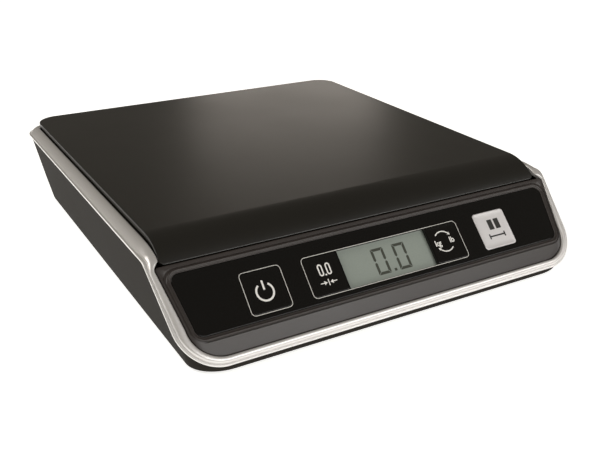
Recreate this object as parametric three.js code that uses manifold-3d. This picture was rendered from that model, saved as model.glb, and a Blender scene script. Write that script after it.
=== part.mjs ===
// Platform shipping scale: a low black case with a silver trim ring, a wide weighing platform
// whose front curves down to a control panel sloping at 45 degrees, and the load cell,
// boards, batteries and fasteners inside.
// Millimetres, +Z up, the front faces -Y. The origin is the centre of the footprint, on the table.

import * as THREE from "three";
import { mergeVertices } from "three/addons/utils/BufferGeometryUtils.js";
import Module from "manifold-3d";

const wasm = await Module();
wasm.setup();

// ---------------------------------------------------------------- driving dimensions
const GAP = 0.3; // clearance between pieces that rest on each other
const SPARE = 5; // how far a cutting tool reaches past what it cuts
const FAR = 120; // past the end of the case, from its edge
const WALL = 2.2; // case wall
const HALF_WIDTH = 108.2; // centre to the outer lip of the trim ring
const HALF_DEPTH = 120.7; // centre to the front and rear of the trim ring
const TOP_Z = 47.0; // top of the weighing platform
const LIP_Z = 41.3; // top of the trim ring's outer lip
const LIP_HEIGHT = 0.9;
const RING_DRAFT = 0.115; // the ring and the case narrow towards the table
const BASE_DRAFT = 0.185;
const REAR_DRAFT = 0.155;
const REAR_RADIUS = 14; // plan radius of the two rear corners
const FRONT_CORNER = { x: 18, y: 13 }; // half-axes of the two front corners in plan

const PLATFORM = { half: 101.5, rear: 119.4, radius: 12, thick: 2.5, frontRadius: 25 };
PLATFORM.bendY = -68.6; // where the flat top starts to roll down
PLATFORM.footY = -87.4; // where the rolled front ends
const TRAVEL = 0.5; // how far the platform sinks before it meets its stop

const PANEL = { y: -92.0, z: 36.3, slope: Math.PI / 4 }; // top edge of the glossy overlay
const PANEL_TAPER = 0.1; // half-width lost for each mm down the slope
const RING_OFFSET = -1.2; // lip of the ring, measured from the panel plane
const BASE_Z = 1.5; // underside of the case
const FLOOR_Z = BASE_Z + WALL + 0.2;
const RIM_Z = LIP_Z - LIP_HEIGHT - GAP; // top of the case rim
const RIM_OFFSET = RING_OFFSET - LIP_HEIGHT - GAP; // the same rim below the panel plane
const DECK_Z = RIM_Z + GAP;
const DECK_THICK = 2.0;
const UNDERSIDE_Z = TOP_Z - PLATFORM.thick;

const KEY_TRAVEL = 0.4;
const KEY_ROW = 16.3; // middle of the keys and the display, down the slope
const DISPLAY = { width: 47.8, height: 18.1 };
const KEYS = [
  { name: "power_key", x: -62.0, row: KEY_ROW, width: 18.5, height: 18.5, colour: "overlay" },
  { name: "tare_key", x: -33.0, row: KEY_ROW, width: 17.6, height: 18.2, colour: "overlay" },
  { name: "unit_key", x: 33.2, row: KEY_ROW, width: 17.6, height: 18.2, colour: "overlay" },
  { name: "hold_key", x: 62.7, row: 15.9, width: 19.0, height: 18.8, colour: "silver" },
];
const KEY_STEM = 13;

const CELL = { y: 14, z: 18.4, length: 80, size: 12.7, block: 31, screwPitch: 10 }; // bar along X
const CARRIER = { half: 70, front: -54, rear: 86, radius: 8, z: 31, thick: 2.5 };
const POST = { radius: 3.6, socket: 6.4, bore: 5.1, deckHole: 7.2, padHeight: 2.2 };
const POSTS = [[-62, -46], [62, -46], [-62, 78], [62, 78]];
const CASE_SCREWS = [[-88, -62], [88, -62], [-86, 96], [86, 96]];
const FEET = [[-84, -96], [84, -96], [-84, 80], [84, 80]];
const FOOT = { radius: 7, seat: 0.8 };
const BATTERY = { radius: 5.25, length: 44.5, pitch: 12.4, y: -42, z: 9.4 }; // three AAA cells
const BAY = { halfX: 19.6, front: -71, rear: -13, top: 16.2, wall: 1.6 };
const DOOR = { halfX: 23, front: -76, rear: -8.4, thick: 1.6 };
const BOARD = { x: -58, y: 87, width: 44, depth: 42, z: 9.5, thick: 1.6 };
const SOCKET = { x: -60, z: 13.4, width: 7.7, height: 3.9, depth: 9 };
const M4 = { hole: 2.1, shank: 1.7, head: 3.4 }; // radii
const M3 = { hole: 1.8, shank: 1.3, head: 3.1 };

// ---------------------------------------------------------------- materials
const finish = (color, roughness, metalness = 0) =>
  new THREE.MeshStandardMaterial({ color, roughness, metalness });
const FINISH = {
  case: finish(0x23211f, 0.45),
  platform: finish(0x302d2a, 0.4),
  silver: finish(0xb9b6b2, 0.3, 0.6),
  overlay: finish(0x151412, 0.12),
  display: finish(0x838980, 0.25),
  rubber: finish(0x1c1c1c, 0.9),
  alloy: finish(0xb4b6b8, 0.35, 1),
  steel: finish(0x9a9ca0, 0.35, 1),
  board: finish(0x1f5c36, 0.5),
  chip: finish(0x111111, 0.5),
  coating: finish(0xe8e6df, 0.6),
  battery: finish(0x5d6670, 0.35, 0.4),
  lead: finish(0x2b2b2d, 0.6),
};

// ---------------------------------------------------------------- shape tools
function solid(geometry) {
  const bare = geometry.clone();
  bare.deleteAttribute("normal");
  bare.deleteAttribute("uv");
  const merged = mergeVertices(bare, 1e-4);
  return new wasm.Manifold(new wasm.Mesh({
    numProp: 3,
    vertProperties: new Float32Array(merged.attributes.position.array),
    triVerts: new Uint32Array(merged.index.array),
  }));
}

function geometryOf(body) {
  const mesh = body.getMesh();
  const geometry = new THREE.BufferGeometry();
  geometry.setAttribute("position", new THREE.BufferAttribute(mesh.vertProperties, 3));
  geometry.setIndex(new THREE.BufferAttribute(mesh.triVerts, 1));
  geometry.computeVertexNormals();
  return geometry;
}

const add = (body, ...extras) => extras.reduce((whole, extra) => whole.add(solid(extra)), body);
const cut = (body, ...tools) => tools.reduce((left, tool) => left.subtract(solid(tool)), body);
const join = (first, ...rest) => add(solid(first), ...rest);
const common = (first, second) => solid(first).intersect(solid(second));

function prism(shape, low, high, curveSegments = 6) {
  const settings = { depth: high - low, bevelEnabled: false, curveSegments };
  return new THREE.ExtrudeGeometry(shape, settings).translate(0, 0, low);
}

function box(width, depth, height, x = 0, y = 0, z = 0) {
  return new THREE.BoxGeometry(width, depth, height).translate(x, y, z);
}

function rod(radius, low, high, x = 0, y = 0, sides = 12) {
  const upright = new THREE.CylinderGeometry(radius, radius, high - low, sides).rotateX(Math.PI / 2);
  return upright.translate(x, y, (low + high) / 2);
}

const rodsAt = (places, radius, low, high, sides) =>
  places.map(([x, y]) => rod(radius, low, high, x, y, sides));

// A rectangle with round corners, from its lowest and highest corners.
function roundedRect(x0, y0, x1, y1, radius) {
  const shape = new THREE.Shape();
  shape.moveTo(x0 + radius, y0);
  shape.lineTo(x1 - radius, y0);
  shape.absarc(x1 - radius, y0 + radius, radius, -Math.PI / 2, 0);
  shape.lineTo(x1, y1 - radius);
  shape.absarc(x1 - radius, y1 - radius, radius, 0, Math.PI / 2);
  shape.lineTo(x0 + radius, y1);
  shape.absarc(x0 + radius, y1 - radius, radius, Math.PI / 2, Math.PI);
  shape.lineTo(x0, y0 + radius);
  shape.absarc(x0 + radius, y0 + radius, radius, Math.PI, 1.5 * Math.PI);
  return shape;
}

// The footprint of the case: wide elliptical front corners and round rear ones.
function footprint(half, front, rear) {
  const { x: cx, y: cy } = FRONT_CORNER;
  const r = REAR_RADIUS;
  const shape = new THREE.Shape();
  shape.moveTo(-half + cx, front);
  shape.lineTo(half - cx, front);
  shape.absellipse(half - cx, front + cy, cx, cy, -Math.PI / 2, 0);
  shape.lineTo(half, rear - r);
  shape.absarc(half - r, rear - r, r, 0, Math.PI / 2);
  shape.lineTo(-half + r, rear);
  shape.absarc(-half + r, rear - r, r, Math.PI / 2, Math.PI);
  shape.lineTo(-half, front + cy);
  shape.absellipse(-half + cx, front + cy, cx, cy, Math.PI, 1.5 * Math.PI);
  return shape;
}

// Moves one end face of a prism inwards: x on both sides, near at low Y and far at high Y.
function taper(geometry, atTop, inset) {
  geometry.computeBoundingBox();
  const { min, max } = geometry.boundingBox;
  const end = atTop ? max.z : min.z;
  const place = geometry.attributes.position;
  for (let i = 0; i < place.count; i += 1) {
    if (Math.abs(place.getZ(i) - end) > 1e-3) continue;
    const along = (place.getY(i) - min.y) / (max.y - min.y);
    place.setX(i, place.getX(i) * (1 - inset.x / max.x));
    place.setY(i, place.getY(i) + inset.near * (1 - along) - inset.far * along);
  }
  return geometry;
}

// The case's outer walls, narrowing towards the table, set in by the given amount.
function draftedBody(inset, draft) {
  const high = TOP_Z + 1;
  const rise = high - LIP_Z;
  const half = HALF_WIDTH + draft * rise - inset;
  const rear = HALF_DEPTH + REAR_DRAFT * rise - inset;
  const walls = prism(footprint(half, -HALF_DEPTH + inset, rear), 0, high);
  return taper(walls, false, { x: draft * high, near: 0, far: REAR_DRAFT * high });
}

// A side outline in (y, z), swept across the width. The matrix turns z of the prism into x.
function acrossWidth(outline, half = HALF_WIDTH + 2 * SPARE) {
  const shape = new THREE.Shape(outline.map(([y, z]) => new THREE.Vector2(y, z)));
  const turn = new THREE.Matrix4().set(0, 0, 1, -half, 1, 0, 0, 0, 0, 1, 0, 0, 0, 0, 0, 1);
  return prism(shape, 0, 2 * half).applyMatrix4(turn);
}

// Panel space: x across, y up the slope, z out of the panel. Rows are measured down the slope.
const panelMatrix = new THREE.Matrix4()
  .makeTranslation(0, PANEL.y, PANEL.z)
  .multiply(new THREE.Matrix4().makeRotationX(PANEL.slope));
const onPanel = (geometry) => geometry.applyMatrix4(panelMatrix);
const panelLineZ = (y, offset) => PANEL.z + (y - PANEL.y) + offset * Math.SQRT2;
const panelLineY = (z, offset) => PANEL.y + (z - PANEL.z) - offset * Math.SQRT2;

// A panel outline that narrows down the slope, between two rows, with its own corner radii.
function panelOutline(half, topRow, bottomRow, topRadius, bottomRadius) {
  const top = half - PANEL_TAPER * topRow;
  const low = half - PANEL_TAPER * bottomRow;
  const shape = new THREE.Shape();
  shape.moveTo(-low + bottomRadius, -bottomRow);
  shape.lineTo(low - bottomRadius, -bottomRow);
  shape.absarc(low - bottomRadius, -bottomRow + bottomRadius, bottomRadius, -Math.PI / 2, 0);
  shape.lineTo(top, -topRow - topRadius);
  shape.absarc(top - topRadius, -topRow - topRadius, topRadius, 0, Math.PI / 2);
  shape.lineTo(-top + topRadius, -topRow);
  shape.absarc(-top + topRadius, -topRow - topRadius, topRadius, Math.PI / 2, Math.PI);
  shape.lineTo(-low, -bottomRow + bottomRadius);
  shape.absarc(-low + bottomRadius, -bottomRow + bottomRadius, bottomRadius, Math.PI, 1.5 * Math.PI);
  return shape;
}

// A rounded pad in panel space, centred on a column and a row.
function panelPad(width, height, radius, low, high, x, row) {
  const corner = [x - width / 2, -row - height / 2];
  const shape = roundedRect(...corner, corner[0] + width, corner[1] + height, radius);
  return prism(shape, low, high, 3);
}

// Everything under a flat height and, at the front, under a line parallel to the panel.
function underSkin(flatZ, offset, bottomZ, frontY) {
  const rear = HALF_DEPTH + FAR;
  return acrossWidth([
    [rear, bottomZ], [rear, flatZ],
    [panelLineY(flatZ, offset), flatZ],
    [frontY, panelLineZ(frontY, offset)],
    [frontY, bottomZ],
  ]);
}

// Everything above the same kind of line.
function aboveSkin(flatZ, offset) {
  const front = -HALF_DEPTH - 4 * SPARE;
  const high = TOP_Z + SPARE;
  return acrossWidth([
    [HALF_DEPTH + FAR, flatZ], [HALF_DEPTH + FAR, high],
    [front, high],
    [front, panelLineZ(front, offset)],
    [panelLineY(flatZ, offset), flatZ],
  ]);
}

// ---------------------------------------------------------------- weighing platform
function platformArc(radius, from, to, steps = 10) {
  const centre = { y: PLATFORM.bendY, z: TOP_Z - PLATFORM.frontRadius };
  return Array.from({ length: steps + 1 }, (_, i) => {
    const angle = from + ((to - from) * i) / steps;
    return [centre.y - radius * Math.sin(angle), centre.z + radius * Math.cos(angle)];
  });
}

function makePlatform() {
  const { half, rear, radius, thick, frontRadius, bendY, footY } = PLATFORM;
  const end = Math.asin((bendY - footY) / frontRadius);
  const skin = acrossWidth([
    [rear + SPARE, TOP_Z], ...platformArc(frontRadius, 0, end),
    ...platformArc(frontRadius - thick, end, 0), [rear + SPARE, UNDERSIDE_Z],
  ], half + SPARE);
  const plan = prism(roundedRect(-half, footY - radius, half, rear, radius), 0, TOP_Z + SPARE);
  const socketLow = DECK_Z + DECK_THICK + TRAVEL + 2 * GAP;
  const sockets = rodsAt(POSTS, POST.socket, socketLow, UNDERSIDE_Z + GAP, 20);
  const bores = rodsAt(POSTS, POST.bore, CARRIER.z, UNDERSIDE_Z, 20);
  return geometryOf(cut(add(common(skin, plan), ...sockets), ...bores));
}

function makeCarrier() {
  const { half, front, rear, radius, z, thick } = CARRIER;
  const plate = prism(roundedRect(-half, front, half, rear, radius), z, z + thick, 4);
  const posts = rodsAt(POSTS, POST.radius, z + 1, UNDERSIDE_Z - POST.padHeight);
  const holes = rodsAt(screwPlaces(CELL.block), M4.hole, 0, z + 2 * SPARE, 10);
  return geometryOf(cut(join(plate, ...posts), ...holes));
}

function makeCarrierPad() {
  return rod(POST.bore - 0.4, UNDERSIDE_Z - POST.padHeight + GAP, UNDERSIDE_Z - GAP, 0, 0, 16);
}

// ---------------------------------------------------------------- load cell and its mounting
const cellLow = CELL.z - CELL.size / 2;
const cellHigh = CELL.z + CELL.size / 2;
const blockLow = 8.3;

// The two screws that hold one end of the bar.
function screwPlaces(x) {
  return [-1, 1].map((side) => [x + (side * CELL.screwPitch) / 2, CELL.y]);
}

// Two joined holes through the middle leave the thin webs that bend under a load.
function makeLoadCell() {
  const bending = { x: 4.6, radius: 4.2, slot: 3.2 };
  const through = 1.5 * CELL.size;
  const bar = box(CELL.length, CELL.size, CELL.size, 0, CELL.y, CELL.z);
  const bores = [-bending.x, bending.x].map((x) =>
    new THREE.CylinderGeometry(bending.radius, bending.radius, through, 20).translate(x, CELL.y, CELL.z));
  const slot = box(2 * bending.x, through, bending.slot, 0, CELL.y, CELL.z);
  const places = [...screwPlaces(-CELL.block), ...screwPlaces(CELL.block)];
  return geometryOf(cut(solid(bar), ...bores, slot, ...rodsAt(places, M4.hole, 0, 2 * CELL.z, 10)));
}

function makeCellBlock(x, low, high) {
  const block = box(20, 14, high - low, x, CELL.y, (low + high) / 2);
  return geometryOf(cut(solid(block), ...rodsAt(screwPlaces(x), M4.hole, 0, 2 * CELL.z, 10)));
}

function makeCellScrew(headLow, headHigh, shankLow, shankHigh) {
  const shank = rod(M4.shank, shankLow, shankHigh, 0, 0, 10);
  return geometryOf(join(rod(M4.head, headLow, headHigh), shank));
}

// ---------------------------------------------------------------- case
// The ring's section beside the platform is a lip with a shoulder leaning inwards. Beside the
// panel it is a lip with a raised band.
const RING = { shoulderZ: 44.2, bandTop: 0.2, innerX: 102.1, innerRear: 5.6, panelHalf: 104.3 };

function makeTrimRing() {
  const front = -HALF_DEPTH - 8 * SPARE;
  const lip = footprint(HALF_WIDTH, front, HALF_DEPTH);
  const shoulder = taper(prism(lip, LIP_Z, RING.shoulderZ), true, { x: 5.9, near: 0, far: 5.4 });
  const wide = footprint(HALF_WIDTH + 2, front, HALF_DEPTH + 2);
  const flatSection = join(shoulder, prism(wide, 0, LIP_Z));
  const band = prism(panelOutline(106.6, -60, 41.9, 5, 18), RING_OFFSET, RING.bandTop);
  const bandTop = onPanel(taper(band, true, { x: 2.2, near: 2.4, far: 0 }));
  const underBand = prism(panelOutline(108.6, -2 * FAR, 43, 5, 18), -2 * FAR, RING_OFFSET);
  const panelSection = join(bandTop, onPanel(underBand));
  const ring = common(draftedBody(0, RING_DRAFT), aboveSkin(LIP_Z - LIP_HEIGHT, RING_OFFSET - LIP_HEIGHT))
    .intersect(flatSection)
    .intersect(panelSection);
  const deckRear = HALF_DEPTH - RING.innerRear;
  const deckHole = prism(roundedRect(-RING.innerX, -100, RING.innerX, deckRear, 9), 0, TOP_Z + SPARE);
  const panelHole = onPanel(prism(panelOutline(RING.panelHalf, -3.4, 38.1, 1.4, 14.5), -30, SPARE));
  const half = PLATFORM.half + 2 * GAP;
  const overhang = roundedRect(-half, -60, half, PLATFORM.rear + TRAVEL, PLATFORM.radius);
  const sinkRoom = prism(overhang, UNDERSIDE_Z - TRAVEL - GAP, TOP_Z + SPARE);
  return geometryOf(cut(ring, deckHole, panelHole, sinkRoom));
}

// The deck closes the case under the platform and drops behind the control panel.
function makeDeck() {
  const half = RING.innerX - 0.4;
  const rear = HALF_DEPTH - RING.innerRear - 0.4;
  const top = DECK_Z + DECK_THICK;
  const bend = -68;
  const skin = acrossWidth([
    [rear, DECK_Z], [rear, top], [bend, top], [-87.2, 33.9], [-86.2, 32.2], [bend, DECK_Z],
  ], half);
  const plan = prism(roundedRect(-half, -90, half, rear, 8.6), 0, TOP_Z + SPARE);
  const bosses = rodsAt(CASE_SCREWS, 4, 12, DECK_Z + GAP);
  const postHoles = rodsAt(POSTS, POST.deckHole, 30, TOP_Z, 20);
  const screwHoles = rodsAt(CASE_SCREWS, M3.shank + GAP, 5, 26, 10);
  return geometryOf(cut(add(common(skin, plan), ...bosses), ...postHoles, ...screwHoles));
}

function batteryBay() {
  const { halfX, front, rear, top, wall } = BAY;
  const middle = (front + rear) / 2;
  const roof = top + wall;
  return {
    outer: box(2 * (halfX + wall), rear - front + 2 * wall, roof - BASE_Z, 0, middle, (BASE_Z + roof) / 2),
    inner: box(2 * halfX, rear - front, top, 0, middle, top / 2),
  };
}

// The open tray, before anything is added to its floor.
function trayShell() {
  const inset = 0.7;
  const frontY = -HALF_DEPTH + 2.4;
  const rimWidth = 2.6;
  const outer = common(draftedBody(inset, BASE_DRAFT), underSkin(RIM_Z, RIM_OFFSET, BASE_Z, frontY));
  const cavity = common(
    draftedBody(inset + WALL, BASE_DRAFT),
    underSkin(RIM_Z - rimWidth, RIM_OFFSET - rimWidth, FLOOR_Z, frontY + WALL),
  );
  const topMouth = prism(roundedRect(-100.2, -86, 100.2, HALF_DEPTH - 8, 8), 25, TOP_Z);
  const footMouth = prism(roundedRect(-102.3, -93, 102.3, -66, 2), 30, TOP_Z);
  const panelMouth = onPanel(prism(panelOutline(99.9, -4, 35.6, 2, 12), RIM_OFFSET - 3, SPARE));
  return cut(outer.subtract(cavity), topMouth, footMouth, panelMouth);
}

// Bosses, plinths and pegs that stand on the floor of the tray.
function trayStandings() {
  const corners = [[-18, -16], [18, -16], [-18, 16], [18, 16]];
  const pegs = corners.map(([dx, dy]) => [BOARD.x + dx, BOARD.y + dy]);
  return [
    batteryBay().outer,
    ...rodsAt(CASE_SCREWS, 5.2, BASE_Z, 12 - GAP),
    box(24, 18, 6, -CELL.block, CELL.y, 5),
    ...rodsAt(pegs, 2.5, BASE_Z + 1, BOARD.z - GAP, 8),
    rod(4.5, BASE_Z + 1, 8.4, CELL.block, CELL.y),
  ];
}

// Seats and holes that open through the floor and the rear wall of the tray.
function trayOpenings() {
  const seat = DOOR.thick + GAP;
  const doorY = (DOOR.front + DOOR.rear) / 2;
  const width = SOCKET.width + 2 * GAP;
  const height = SOCKET.height + 2 * GAP;
  return [
    batteryBay().inner,
    box(2 * (DOOR.halfX + GAP), DOOR.rear - DOOR.front + 2 * GAP, seat, 0, doorY, BASE_Z + seat / 2),
    ...rodsAt(CASE_SCREWS, M3.hole, 0, 20, 10),
    ...rodsAt(CASE_SCREWS, M3.head + 0.5, 0, 5),
    ...rodsAt(FEET, FOOT.radius + GAP, 0, BASE_Z + FOOT.seat, 20),
    ...rodsAt(screwPlaces(-CELL.block), M4.hole, 0, 20, 10),
    ...rodsAt(screwPlaces(-CELL.block), M4.head + 0.4, 0, 4.2),
    box(width, 20, height, SOCKET.x, HALF_DEPTH - 4, SOCKET.z),
  ];
}

const makeBaseTray = () => geometryOf(cut(add(trayShell(), ...trayStandings()), ...trayOpenings()));

function makeBatteryDoor() {
  const { halfX, front, rear, thick } = DOOR;
  const plate = prism(roundedRect(-halfX, front, halfX, rear, 2), BASE_Z, BASE_Z + thick, 3);
  const grip = { width: 16, groove: 0.9, pitch: 2.2, fromEdge: 6 };
  const grooves = [0, 1, 2, 3].map((i) =>
    box(grip.width, grip.groove, 1, 0, front + grip.fromEdge + grip.pitch * i, BASE_Z + 0.2));
  return geometryOf(cut(solid(plate), ...grooves));
}

const makeFoot = () => rod(FOOT.radius, 0, BASE_Z + FOOT.seat - GAP, 0, 0, 20);
const makeCaseScrew = () => geometryOf(join(rod(M3.head, 3.0, 4.7), rod(M3.shank, 4, 24, 0, 0, 8)));

// ---------------------------------------------------------------- control panel
const OVERLAY = { top: -0.3, low: -1.5, seat: -1.8, back: -3.3 };
const KEY_CAP_LOW = OVERLAY.low + 0.4;
const DOME = { top: -5.4, height: 0.95, radius: 3.2 };
const KEY_BOARD = { width: 150, height: 24, thick: 1.6, face: -6.6 };
const APRON = [[-31, 0], [-50, -4], [-50, 6], [-31, 6]]; // what the apron's steeper slope takes off

function keyPad(key, grow, low, high) {
  return panelPad(key.width + grow, key.height + grow, 1.6, low, high, key.x, key.row);
}

function makePanelFrame() {
  const flange = prism(panelOutline(104.0, -3.1, 37.8, 1.2, 14.2), RIM_OFFSET + GAP, 0);
  const plug = prism(panelOutline(99.6, -0.5, 35.2, 1, 11.6), OVERLAY.back, RIM_OFFSET + 2 * GAP);
  const seat = prism(panelOutline(100.2, 0, 28.6, 4.2, 4.2), OVERLAY.seat, SPARE);
  const hole = KEY_STEM + 0.8;
  const stems = KEYS.map((key) => panelPad(hole, hole, 1, -2 * SPARE, SPARE, key.x, key.row));
  const size = [DISPLAY.width + 2.4, DISPLAY.height + 2];
  const window = panelPad(...size, 0.6, -2 * SPARE, SPARE, 0, KEY_ROW);
  return geometryOf(cut(join(flange, plug), seat, acrossWidth(APRON), ...stems, window));
}

function makeOverlay() {
  const sheet = prism(panelOutline(99.9, 0.3, 28.3, 4, 4), OVERLAY.low, OVERLAY.top);
  const keyHoles = KEYS.map((key) => keyPad(key, 2 * GAP, -SPARE, SPARE));
  const window = panelPad(DISPLAY.width, DISPLAY.height, 0.4, -SPARE, SPARE, 0, KEY_ROW);
  return geometryOf(cut(solid(sheet), ...keyHoles, window));
}

function makeKey(key) {
  const cap = keyPad(key, 0, KEY_CAP_LOW, OVERLAY.top);
  const stemLow = DOME.top + KEY_TRAVEL + GAP;
  const stem = panelPad(KEY_STEM, KEY_STEM, 1, stemLow, KEY_CAP_LOW + GAP, key.x, key.row);
  return geometryOf(join(cap, stem));
}

// A snap dome: a shallow cap of sprung steel under each key.
function makeKeyDome(key) {
  const { radius, height, top } = DOME;
  const shoulder = [[radius, 0], [0.9 * radius, 0.5 * height], [0.56 * radius, 0.9 * height]];
  const rings = [[0, 0], ...shoulder, [0, height]];
  const profile = rings.map(([r, z]) => new THREE.Vector2(r, z));
  const dome = new THREE.LatheGeometry(profile, 16).rotateX(Math.PI / 2);
  return dome.translate(key.x, -key.row, top - height);
}

const makeDisplayGlass = () => box(DISPLAY.width + 1.6, DISPLAY.height + 1.3, 2.2, 0, -KEY_ROW, -3.0);
const makeDisplayConnector = () => box(46, 2.2, 1.6, 0, -KEY_ROW - 8, -5.3);

function makeKeyBoard() {
  const { width, height, thick, face } = KEY_BOARD;
  return box(width, height, thick, 0, -KEY_ROW, face - thick / 2);
}

// ---------------------------------------------------------------- electronics and power
function makeMainBoard() {
  return box(BOARD.width, BOARD.depth, BOARD.thick, BOARD.x, BOARD.y, BOARD.z + BOARD.thick / 2);
}

// A data and power socket: a steel shell with a tongue inside its open mouth.
function makeSocket() {
  const { width, height, depth } = SOCKET;
  const wall = 0.4;
  const shell = box(width, depth, height);
  const mouth = box(width - 2 * wall, depth, height - 2 * wall, 0, 1.4, 0);
  const tongue = box(5, depth - 2, 0.9, 0, -0.6, 0);
  return geometryOf(cut(solid(shell), mouth).add(solid(tongue)));
}

function makeBatteryCell() {
  const { radius, length } = BATTERY;
  const nub = { radius: 1.9, height: 1.2 };
  const half = length / 2;
  const neck = half - nub.height;
  const can = [[0, -half], [radius, -half], [radius, neck]];
  const profile = [...can, [nub.radius, neck], [nub.radius, half], [0, half]];
  return new THREE.LatheGeometry(profile.map(([r, y]) => new THREE.Vector2(r, y)), 16);
}

// A conical contact spring, wound along Y, drawn at its length between the wall and the battery.
const SPRING = { turns: 3, wide: 3.6, narrow: 1.8, length: 5.2, wire: 0.35 };

class ConeCoil extends THREE.Curve {
  getPoint(t) {
    const angle = 2 * Math.PI * SPRING.turns * t;
    const radius = SPRING.wide + (SPRING.narrow - SPRING.wide) * t;
    return new THREE.Vector3(radius * Math.cos(angle), SPRING.length * t, radius * Math.sin(angle));
  }
}

// A round section swept along a curve.
function tube(radius, curve, steps, curveSegments) {
  const section = new THREE.Shape();
  section.absarc(0, 0, radius, 0, 2 * Math.PI);
  const settings = { steps, curveSegments, bevelEnabled: false, extrudePath: curve };
  return new THREE.ExtrudeGeometry(section, settings);
}

const makeBatterySpring = () => tube(SPRING.wire, new ConeCoil(), 30, 2);
const makeBatteryPlate = () => box(8.5, 0.6, 8.5);

function makeLead(points) {
  const route = new THREE.CatmullRomCurve3(points.map((point) => new THREE.Vector3(...point)));
  return tube(1.1, route, 24, 3);
}

// ---------------------------------------------------------------- assembly
const scale = new THREE.Group();
const panel = new THREE.Group();
panel.position.set(0, PANEL.y, PANEL.z);
panel.rotation.x = PANEL.slope;
scale.add(panel);

function place(parent, name, geometry, material, position = [0, 0, 0], turn = [0, 0, 0]) {
  const mesh = new THREE.Mesh(geometry, material);
  mesh.name = name;
  mesh.position.set(...position);
  mesh.rotation.set(...turn);
  parent.add(mesh);
}

place(scale, "platform", makePlatform(), FINISH.platform);
place(scale, "platform_carrier", makeCarrier(), FINISH.alloy);
POSTS.forEach(([x, y], i) => {
  place(scale, `carrier_pad_${i + 1}`, makeCarrierPad(), FINISH.rubber, [x, y, 0]);
});

place(scale, "load_cell", makeLoadCell(), FINISH.alloy);
place(scale, "gauge_coating", box(22, 10, 0.8, 0, CELL.y, cellHigh + GAP + 0.4), FINISH.coating);
place(scale, "cell_foot_block", makeCellBlock(-CELL.block, blockLow, cellLow - GAP), FINISH.steel);
place(scale, "cell_head_block", makeCellBlock(CELL.block, cellHigh + GAP, CARRIER.z - GAP), FINISH.steel);
screwPlaces(-CELL.block).forEach(([x, y], i) => {
  place(scale, `cell_screw_${i + 1}`, makeCellScrew(2.0, 3.9, 3.5, 20), FINISH.steel, [x, y, 0]);
});
screwPlaces(CELL.block).forEach(([x, y], i) => {
  const head = CARRIER.z + CARRIER.thick + GAP;
  const screw = makeCellScrew(head, head + 2.2, 16, head + 1);
  place(scale, `cell_screw_${i + 3}`, screw, FINISH.steel, [x, y, 0]);
});
const stop = rod(2.4, blockLow + 0.4, cellLow - TRAVEL, CELL.block, CELL.y);
place(scale, "overload_stop", stop, FINISH.steel);

place(scale, "trim_ring", makeTrimRing(), FINISH.silver);
place(scale, "deck", makeDeck(), FINISH.case);
place(scale, "base_tray", makeBaseTray(), FINISH.case);
place(scale, "battery_door", makeBatteryDoor(), FINISH.case);
FEET.forEach(([x, y], i) => {
  place(scale, `foot_${i + 1}`, makeFoot(), FINISH.rubber, [x, y, 0]);
});
CASE_SCREWS.forEach(([x, y], i) => {
  place(scale, `case_screw_${i + 1}`, makeCaseScrew(), FINISH.steel, [x, y, 0]);
});

place(panel, "panel_frame", makePanelFrame(), FINISH.case);
place(panel, "panel_overlay", makeOverlay(), FINISH.overlay);
KEYS.forEach((key, i) => {
  place(panel, key.name, makeKey(key), FINISH[key.colour]);
  place(panel, `key_dome_${i + 1}`, makeKeyDome(key), FINISH.steel);
});
place(panel, "display_glass", makeDisplayGlass(), FINISH.display);
place(panel, "display_connector", makeDisplayConnector(), FINISH.rubber);
place(panel, "key_board", makeKeyBoard(), FINISH.board);

const chipZ = BOARD.z + BOARD.thick + GAP + 0.8;
place(scale, "main_board", makeMainBoard(), FINISH.board);
place(scale, "controller_chip", box(10, 10, 1.6), FINISH.chip, [BOARD.x + 6, BOARD.y - 6, chipZ]);
place(scale, "power_socket", makeSocket(), FINISH.steel, [SOCKET.x, 111.4, SOCKET.z]);
[-1, 0, 1].forEach((side, i) => {
  const at = (y) => [side * BATTERY.pitch, y, BATTERY.z];
  const facing = side === 0 ? -1 : 1; // the middle cell faces the other way
  const turn = [0, 0, facing === 1 ? 0 : Math.PI];
  const reach = BATTERY.length / 2 + GAP;
  const springY = BATTERY.y - facing * (reach + SPRING.length + 0.4);
  const plateY = BATTERY.y + facing * (reach + 0.3);
  place(scale, `battery_cell_${i + 1}`, makeBatteryCell(), FINISH.battery, at(BATTERY.y), turn);
  place(scale, `battery_spring_${i + 1}`, makeBatterySpring(), FINISH.steel, at(springY), turn);
  place(scale, `battery_plate_${i + 1}`, makeBatteryPlate(), FINISH.steel, at(plateY));
});

// Leads lie loose inside the case, from the key board and the load cell to the main board.
place(scale, "panel_lead", makeLead([
  [-70, -97, 14], [-72, -88, 8], [-74, -66, 6], [-76, -20, 5.6], [-76, 30, 5.6], [-72, 52, 6.4],
  [-68, 65.6, 10.3],
]), FINISH.lead);
place(scale, "cell_lead", makeLead([
  [-44, 14, 18], [-50, 16, 14], [-54, 28, 8], [-56, 44, 6.5], [-56, 55, 8], [-56, 65.6, 10.3],
]), FINISH.lead);

export default scale;
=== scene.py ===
# %% [markdown]
# # A platform shipping scale
# A low black scale for parcels. A wide platform floats on a load cell. Its front rolls down
# to a sloping control panel, and a silver ring runs round both. The CAD model gives the frame:
# every size and place below is read from it or is a named value in millimetres.

# %% Load the frame
import math

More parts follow.
